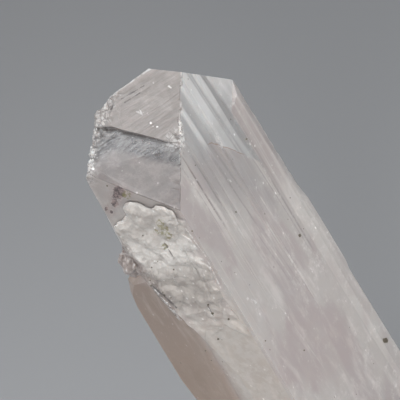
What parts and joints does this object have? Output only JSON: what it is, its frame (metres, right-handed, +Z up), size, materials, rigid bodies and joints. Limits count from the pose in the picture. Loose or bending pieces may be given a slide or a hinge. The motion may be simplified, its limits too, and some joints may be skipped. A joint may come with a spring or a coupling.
{
  "type": "danburite crystal",
  "caption": "Loose prismatic danburite crystal with a roof-like end, a crusty shelf and a parallel second crystal, cut flat at the foot to stand upright.",
  "frame": {"origin": "centre of the footprint's bounding box, on the flat cut the crystal stands on", "axes": "+Z up along the crystal's long axis, -Y towards the front edge between the two front prism faces, +X to the right of it"},
  "size_m": [0.0268, 0.0282, 0.07],
  "materials": {
    "danburite_crystal": "glassy, partly clear and partly milky pale pink-grey mineral"
  },
  "bodies": {
    "root": {"danburite_crystal": "danburite_crystal"}
  },
  "joints": []
}
